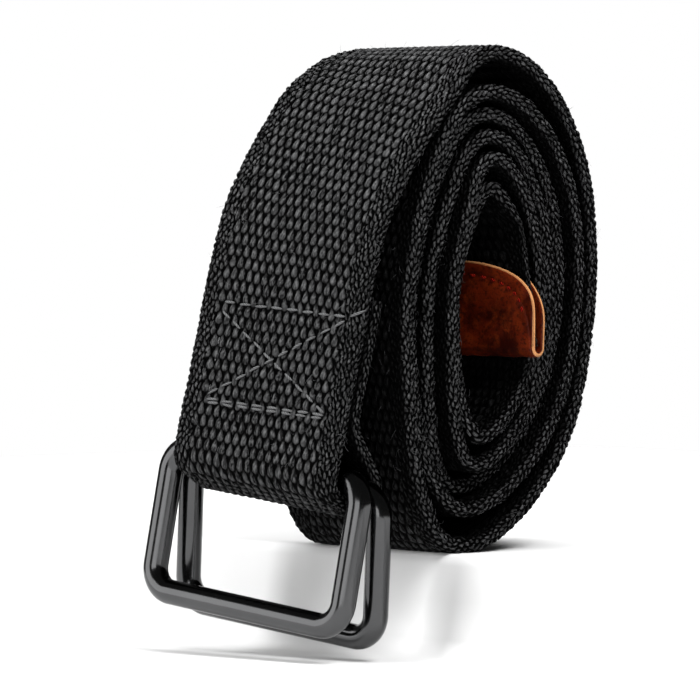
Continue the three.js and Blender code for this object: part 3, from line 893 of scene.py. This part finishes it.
# Sewing
def tube_faces(base, sides, steps):
    """The wall and both ends of a tube whose rings of points follow each other from base on."""
    wall = grid_faces(steps + 1, sides, True) + base
    first = [base + k for k in range(sides)][::-1]
    last = [base + steps * sides + k for k in range(sides)]
    return wall.tolist() + [first, last]


def thread_piece(name, stitches, material, sides=8, steps=9):
    """Stitches as bowed capsules. A stitch is (start, end, way out, radius, bow), in millimetres."""
    vertices, faces, uvs = [], [], []
    for start, end, out, radius, bow in stitches:
        along = end - start
        length = np.linalg.norm(along)
        along = along / length
        out = unit(out - along * out.dot(along))
        sideways = np.cross(along, out)
        faces += tube_faces(len(vertices), sides, steps)
        for share in (i / steps for i in range(steps + 1)):
            plump = max(math.sin(math.pi * share), 0.0) ** 0.38
            swell = max(radius * plump, 0.02)
            centre = start + along * length * share + out * bow * math.sin(math.pi * share)
            for angle in (2 * math.pi * k / sides for k in range(sides)):
                wide, high = math.cos(angle) * swell, math.sin(angle) * swell * 0.8
                vertices.append(centre + sideways * wide + out * high)
        for i in range(steps):
            u0, u1 = i / steps * length, (i + 1) / steps * length
            for k in range(sides):
                v0, v1 = k / sides * 2, (k + 1) / sides * 2
                uvs += [(u0, v0), (u0, v1), (u1, v1), (u1, v0)]
        uvs += [(0, 0)] * (2 * sides)
    obj = add_object(name, vertices, faces, material)
    obj.data.uv_layers.new(name="thread").data.foreach_set("uv", np.array(uvs, np.float32).ravel())
    turn_outwards(obj)
    return obj


def strap_point(side, run, lift):
    """A point over the strap's outer face, and the way out of it."""
    middle, across, out, thickness = PATH.here(run)
    return middle + across * side + out * (thickness / 2 + lift), out


def box_stitches(bar_run, sense):
    """The box and its cross, counted from a bar's run, up the strap or down it."""
    draw = np.random.default_rng(21)
    found = []
    for line in BOX_LINES:
        start, end = np.array(line["from"]), np.array(line["to"])
        upright = abs(start[0] - end[0]) <= 3
        sunk = UPRIGHT_SUNK if upright else STITCH_SUNK
        for i in range(line["count"]):
            a, b = (start + (end - start) * (i + share) / line["count"] for share in STITCH_SHARES)
            a, b = a + draw.normal(0, 0.07, 2), b + draw.normal(0, 0.07, 2)
            p0, out = strap_point(a[0], bar_run + sense * a[1], sunk)
            p1, _ = strap_point(b[0], bar_run + sense * b[1], sunk)
            found.append((p0, p1, out, draw.uniform(0.21, 0.26), draw.uniform(0.12, 0.2)))
    return found


SEWING_THREAD = thread_material("grey_thread", (0.030, 0.0303, 0.031), (0.130, 0.131, 0.134), 0.4)
front_stitches = box_stitches(FRONT_BAR_RUN, -1)
# One thread end lies over the strap's edge
edge_start, edge_out = strap_point(16.6, FRONT_BAR_RUN - 28.3, -0.05)
edge_end, _ = strap_point(19.3, FRONT_BAR_RUN - 29.9, -0.9)
front_stitches.append((edge_start, edge_end, edge_out + ACROSS, 0.24, 0.5))
box_front = thread_piece("box_stitches_front", front_stitches, SEWING_THREAD)
back_stitches = box_stitches(PATH.length - FLAP_END_RISE, 1)
box_back = thread_piece("box_stitches_back", back_stitches, SEWING_THREAD)


# Loose fibres
def fibre_piece(name, roots, material):
    """Loose fibres as thin three-sided hairs. A root is (point, direction, curl, length, radius)."""
    steps, sides = 4, 3
    vertices, faces = [], []
    for point, direction, curl, length, radius in roots:
        side = unit(np.cross(direction, curl + [0.01, 0.02, 0.03]))
        other = unit(np.cross(direction, side))
        faces += tube_faces(len(vertices), sides, steps)
        for share in (i / steps for i in range(steps + 1)):
            centre = point + direction * length * share + curl * length * share ** 2
            thin = radius * (1 - 0.6 * share)
            for angle in (2 * math.pi * k / sides for k in range(sides)):
                vertices.append(centre + side * math.cos(angle) * thin + other * math.sin(angle) * thin)
    obj = add_object(name, vertices, faces, material)
    turn_outwards(obj)
    return obj


def fibre_material():
    material, tree, shader = principled("loose_fibre", Roughness=0.7)
    color = mix_colors(noise(object_place(tree), 300), (0.03, 0.03, 0.032), (0.12, 0.12, 0.125))
    put(color, shader.inputs["Base Color"])
    return material


def fuzz(count, seed, low, high, edge_share, lengths, radius):
    """Roots of fibres between two runs: a share of them on the near edge, the rest on the outer face."""
    draw = np.random.default_rng(seed)
    roots = []
    for _ in range(count):
        middle, across, out, thickness = PATH.here(draw.uniform(low, high))
        along = np.cross(across, out)
        if draw.random() < edge_share:
            level = out * draw.uniform(-0.45, 0.45) * thickness
            point = middle + across * (STRAP_WIDTH / 2 - 0.15) + level
            away = across
        else:
            point = middle + across * draw.uniform(-18.5, 18.5) + out * (thickness / 2 - 0.1)
            away = out
        direction = away * draw.uniform(0.1, 0.7) + along * draw.normal(0, 1) + across * draw.normal(0, 0.4)
        curl = along * draw.normal(0, 0.5) + away * draw.uniform(-0.5, 0.1)
        roots.append((point, unit(direction), curl, draw.uniform(*lengths), radius * draw.uniform(0.7, 1.2)))
    return roots


fuzz_roots = fuzz(count=900, seed=5, low=TURN_ONE_RUN, high=FRONT_BAR_RUN,
                  edge_share=0.35, lengths=(0.5, 1.7), radius=0.028)
fuzz_roots += fuzz(count=700, seed=6, low=40, high=TURN_ONE_RUN,
                   edge_share=1.0, lengths=(0.5, 1.6), radius=0.028)
# A few longer ones at the fold's near corner
fuzz_roots += fuzz(count=7, seed=9, low=FRONT_BAR_RUN - 10, high=FRONT_BAR_RUN - 2,
                   edge_share=1.0, lengths=(1.5, 3.2), radius=0.04)
loose_fibres = fibre_piece("loose_fibres", fuzz_roots, fibre_material())


# Leather tip
tip_middle, tip_across, _, _ = PATH.here(0.0)
TIP_UP = PATH.here(TIP_RUN / TIP_STEPS)[0] - tip_middle
TIP_UP = unit(TIP_UP - tip_across * TIP_UP.dot(tip_across))
TIP_AWAY = np.cross(TIP_UP, tip_across)


def leather_strip(sideways, place, depth):
    """A point of the folded strip: across it, along it from the fold, and its depth in the thickness.
    Negative places are on the inner leaf and positive ones on the outer leaf."""
    radius = LEATHER_CORE + depth
    bend = np.clip(place / HALF_BEND, -1, 1) * math.pi / 2
    beyond = np.clip(np.abs(place) - HALF_BEND, 0, None)
    away = np.sin(bend) * radius
    up = -LEATHER_GAP - np.cos(bend) * radius + beyond
    outer = np.multiply.outer
    return tip_middle + outer(sideways, tip_across) + outer(away, TIP_AWAY) + outer(up, TIP_UP)


def inside_arch(side, place, top_outer, top_inner):
    """How far a point lies inside its leaf's arch, along the arch's own way in."""
    half_width = ARCH_WIDTH / 2
    crown_share = np.sqrt(np.clip(1 - (side / half_width) ** 2, 0, 1))
    gap = np.minimum(top_outer[:, None] - place, place + top_inner[:, None])
    slope = (side / half_width) / np.maximum(crown_share, 0.05) * ARCH_HEIGHT / half_width
    return gap / np.sqrt(1 + slope ** 2)


def leather_piece():
    """The folded leather, and the strip's length when it is laid flat, in millimetres."""
    columns, rows = 72, 150
    around = np.linspace(0, math.pi, columns)
    side = -ARCH_WIDTH / 2 * np.cos(around)
    rise = np.sin(around).clip(0)
    top_outer = OUTER_LEAF_RISE + ARCH_HEIGHT * rise
    top_inner = INNER_LEAF_RISE + ARCH_HEIGHT * rise ** ARCH_SQUARENESS
    # Places along the strip, closer to one another near both ends
    share = np.linspace(0, 1, rows)
    share = (1 - np.cos(np.pi * share)) / 4 + share / 2
    place = -top_inner[:, None] + (top_inner + top_outer)[:, None] * share[None, :]
    sides = np.repeat(side[:, None], rows, axis=1)
    swell = 0.05 * np.sin(sides * 0.5 + 1) * np.sin(place * 0.45) + 0.03 * np.sin(sides * 1.1 + place * 0.8)
    # Distance from the raw edge, for its rounding
    to_end = np.minimum(top_outer[:, None] - place, place + top_inner[:, None])
    to_side = ARCH_WIDTH / 2 - np.abs(sides)
    to_edge = np.minimum(to_end, to_side * 1.5)
    rounding = 0.16 * np.exp(-np.clip(to_edge, 0, None) / 0.22)
    seam = np.abs(inside_arch(sides, place, top_outer, top_inner) - SEAM_INSET)
    groove = 0.13 * np.exp(-(seam / 0.45) ** 2)
    half = LEATHER_THICKNESS / 2
    outer = leather_strip(sides, place, half + swell - rounding - groove)
    inner = leather_strip(sides, place, -half + rounding * 0.6 + np.minimum(swell, 0.02))

    # Both faces are joined round the raw edge, over a row of points that stands out a little
    loop = [(c, 0) for c in range(columns)] + [(columns - 1, r) for r in range(1, rows)]
    loop += [(c, rows - 1) for c in range(columns - 2, -1, -1)] + [(0, r) for r in range(rows - 2, 0, -1)]
    bulge = []
    for c, r in loop:
        at_end = r in (0, rows - 1)
        way_side = np.sign(side[c]) * (abs(math.cos(around[c])) if at_end else 1.0)
        way_place = (1 if r else -1) * math.sin(around[c]) if at_end else 0.0
        over_side, over_end = side[c] + way_side * EDGE_BULGE, place[c, r] + way_place * EDGE_BULGE
        bulge.append(leather_strip(over_side, over_end, 0.0))
    count = columns * rows
    quads = grid_faces(columns, rows, False)
    faces = quads.tolist() + (quads[:, ::-1] + count).tolist()
    rim = [c * rows + r for c, r in loop]
    middle = [2 * count + k for k in range(len(rim))]
    for a, b, m, n in zip(rim, rim[1:] + rim[:1], middle, middle[1:] + middle[:1]):
        faces += [[a, m, n, b], [m, a + count, b + count, n]]
    vertices = np.concatenate([outer.reshape(-1, 3), inner.reshape(-1, 3), np.array(bulge)])
    obj = add_object("leather_tip_cover", vertices, faces, leather_material())

    # How raw each point is: the outer face only near its edge, the inner face a little, the edge fully
    near = np.exp(-to_edge / 0.3).ravel()
    raw = np.concatenate([np.where(near > 0.35, near, 0), np.full(count, 0.4), np.ones(len(rim))])
    attribute = obj.data.attributes.new("raw_edge", "FLOAT", "POINT")
    attribute.data.foreach_set("value", raw.astype(np.float32))
    turn_outwards(obj)
    return obj, float(top_outer.max() + top_inner.max())


def leather_stitches(sign, leaf_rise, squareness):
    """A row of stitches that follows a leaf's arch."""
    found = []
    half = ARCH_WIDTH / 2 - SEAM_INSET
    lift = LEATHER_THICKNESS / 2 - 0.1
    for i in range(LEATHER_STITCHES):
        ends = []
        for share in ((i + 0.2) / LEATHER_STITCHES, (i + 0.76) / LEATHER_STITCHES):
            angle = math.pi * (0.03 + 0.94 * share)
            rise = (ARCH_HEIGHT - SEAM_INSET) * math.sin(angle) ** squareness
            ends.append(leather_strip(-half * math.cos(angle), sign * (leaf_rise + rise), lift))
        found.append((ends[0], ends[1], TIP_AWAY * sign, 0.30, 0.14))
    return found


leather, leather_length = leather_piece()
LEATHER_THREAD = thread_material("dark_red_thread", (0.010, 0.0006, 0.0003), (0.20, 0.008, 0.004), 0.04)
leather_rows = leather_stitches(1, OUTER_LEAF_RISE, 1.0)
leather_rows += leather_stitches(-1, INNER_LEAF_RISE, ARCH_SQUARENESS)
leather_sewing = thread_piece("leather_stitches", leather_rows, LEATHER_THREAD, sides=7, steps=6)


# Rings
def ring_piece(name, bar, lean, material):
    """A closed rectangle of round wire with bent corners, hanging from its top bar."""
    hang = unit(np.array([0, 0, -1.0]) + ACROSS * ACROSS[2])
    hang = hang * math.cos(-lean) + np.cross(ACROSS, hang) * math.sin(-lean)
    front = np.cross(hang, ACROSS)
    half_wide = (RING_WIDTH - WIRE) / 2 - RING_CORNER
    low = RING_HEIGHT - WIRE - RING_CORNER
    arcs = []
    for side, drop, begin in ((1, low, 0), (-1, low, 90), (-1, RING_CORNER, 180), (1, RING_CORNER, 270)):
        corner = bar + ACROSS * side * half_wide + hang * drop
        arc = []
        for i in range(CORNER_STEPS + 1):
            angle = math.radians(begin + 90 * i / CORNER_STEPS)
            way = ACROSS * math.cos(angle) + hang * math.sin(angle)
            arc.append((corner + way * RING_CORNER, way))
        arcs.append(arc)
    line = []
    for arc, following in zip(arcs, arcs[1:] + arcs[:1]):
        line += arc
        (a, way), (b, _) = arc[-1], following[0]
        line += [(a + (b - a) * i / BAR_STEPS, way) for i in range(1, BAR_STEPS)]
    centre, way = (np.array(found) for found in zip(*line))
    around = 2 * np.pi * np.arange(WIRE_SIDES) / WIRE_SIDES
    points = (centre[:, None] + way[:, None] * (WIRE / 2 * np.cos(around))[None, :, None]
              + front * (WIRE / 2 * np.sin(around))[None, :, None])
    quads = grid_faces(len(line) + 1, WIRE_SIDES, True) % (len(line) * WIRE_SIDES)
    obj = add_object(name, points.reshape(-1, 3), quads.tolist(), material)
    turn_outwards(obj)
    return obj


BLACK_NICKEL = ring_material()
slid_bar = FRONT_BAR + ACROSS * FRONT_RING_SLIDE
front_ring = ring_piece("ring_front_wire", slid_bar, FRONT_RING_LEAN, BLACK_NICKEL)
back_ring = ring_piece("ring_back_wire", BACK_BAR, BACK_RING_LEAN, BLACK_NICKEL)

# What stands for what, and what it rides on
for piece in (outer_webbing, inner_webbing):
    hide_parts("webbing")
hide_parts("leather_tip")
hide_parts("ring_front")
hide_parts("ring_back")
for piece in (outer_webbing, inner_webbing, box_front, box_back, loose_fibres, leather, leather_sewing):
    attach(piece, "strap")
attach(front_ring, "front_ring")
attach(back_ring, "back_ring")


# Studio
def stage_material():
    material, tree, shader = principled("pale_paper", Roughness=0.9, Specular_IOR_Level=0.1)
    color = mix_colors(noise(object_place(tree), 4.0), (0.56, 0.56, 0.56), (0.60, 0.60, 0.60))
    put(color, shader.inputs["Base Color"])
    return material


def stage_piece():
    """A pale ledge that the roll stands on, with the floor in front of it low enough for the rings."""
    floor, ledge = -19.0, -0.06
    profile = [(-300, floor), (-9.0, floor), (-6.5, -18.0), (-5.2, -15.0), (-4.6, -8.0), (-4.2, -2.0),
               (-3.6, -0.5), (-2.8, ledge), (60, ledge), (300, ledge)]
    vertices = [(x, y, z) for y, z in profile for x in (-320, 320)]
    faces = [[2 * i, 2 * i + 1, 2 * i + 3, 2 * i + 2] for i in range(len(profile) - 1)]
    add_object("studio_paper", vertices, faces, stage_material())


def area_light(name, place, aim, size, power, lights_cloth=True, mirrored=True):
    light = bpy.data.lights.new(name, "AREA")
    light.shape = "RECTANGLE"
    light.size, light.size_y = size
    light.energy = power
    obj = bpy.data.objects.new(name, light)
    obj.location = place
    obj.visible_diffuse = lights_cloth
    obj.visible_glossy = mirrored
    obj.rotation_mode = "QUATERNION"
    obj.rotation_quaternion = (Vector(aim) - Vector(place)).to_track_quat("-Z", "Y")
    bpy.context.scene.collection.objects.link(obj)


stage_piece()
area_light("key_softbox", (-0.50, -0.80, 0.50), (0, 0, 0.04), (0.6, 0.6), 15, mirrored=False)
area_light("ring_card", (-0.60, -0.85, 0.22), (0, 0, 0.0), (0.9, 0.9), 7.5, lights_cloth=False)
area_light("edge_softbox", (0.70, -0.10, 0.85), (0, 0, 0.04), (0.4, 0.4), 17, mirrored=False)
area_light("top_softbox", (0.05, 0.05, 1.0), (0, 0, 0.04), (0.7, 0.7), 12, mirrored=False)
area_light("floor_softbox", (0.55, -0.95, 0.05), (0, 0, 0.0), (0.8, 0.5), 3.8)

world = bpy.data.worlds.new("studio_air")
world.use_nodes = True
air = world.node_tree.nodes["Background"]
air.inputs["Color"].default_value = (1, 1, 1, 1)
# The backdrop is seen white, and gives the object only a part of that as light
light_path = world.node_tree.nodes.new("ShaderNodeLightPath")
seen = Value(world.node_tree, light_path.outputs["Is Camera Ray"])
put(ramp(seen, 0, 1, 0.06, 1.0), air.inputs["Strength"])
bpy.context.scene.world = world
bpy.context.scene.view_settings.view_transform = "Standard"

CAMERA_TURN, CAMERA_RISE = math.radians(49.5), math.radians(1.6)
AIM = Vector((-5.05, -5.9, 35.4)) * MM
camera = bpy.data.cameras.new("camera")
camera.lens, camera.sensor_width = 288, 36
camera_object = bpy.data.objects.new("camera", camera)
level_turn = Vector((math.sin(CAMERA_TURN), -math.cos(CAMERA_TURN), 0))
back = level_turn * math.cos(CAMERA_RISE) + Vector((0, 0, math.sin(CAMERA_RISE)))
# One metre away
camera_object.location = AIM + back
camera_object.rotation_mode = "QUATERNION"
camera_object.rotation_quaternion = (-back).to_track_quat("-Z", "Y")
bpy.context.scene.collection.objects.link(camera_object)
bpy.context.scene.camera = camera_object

bpy.context.view_layer.update()
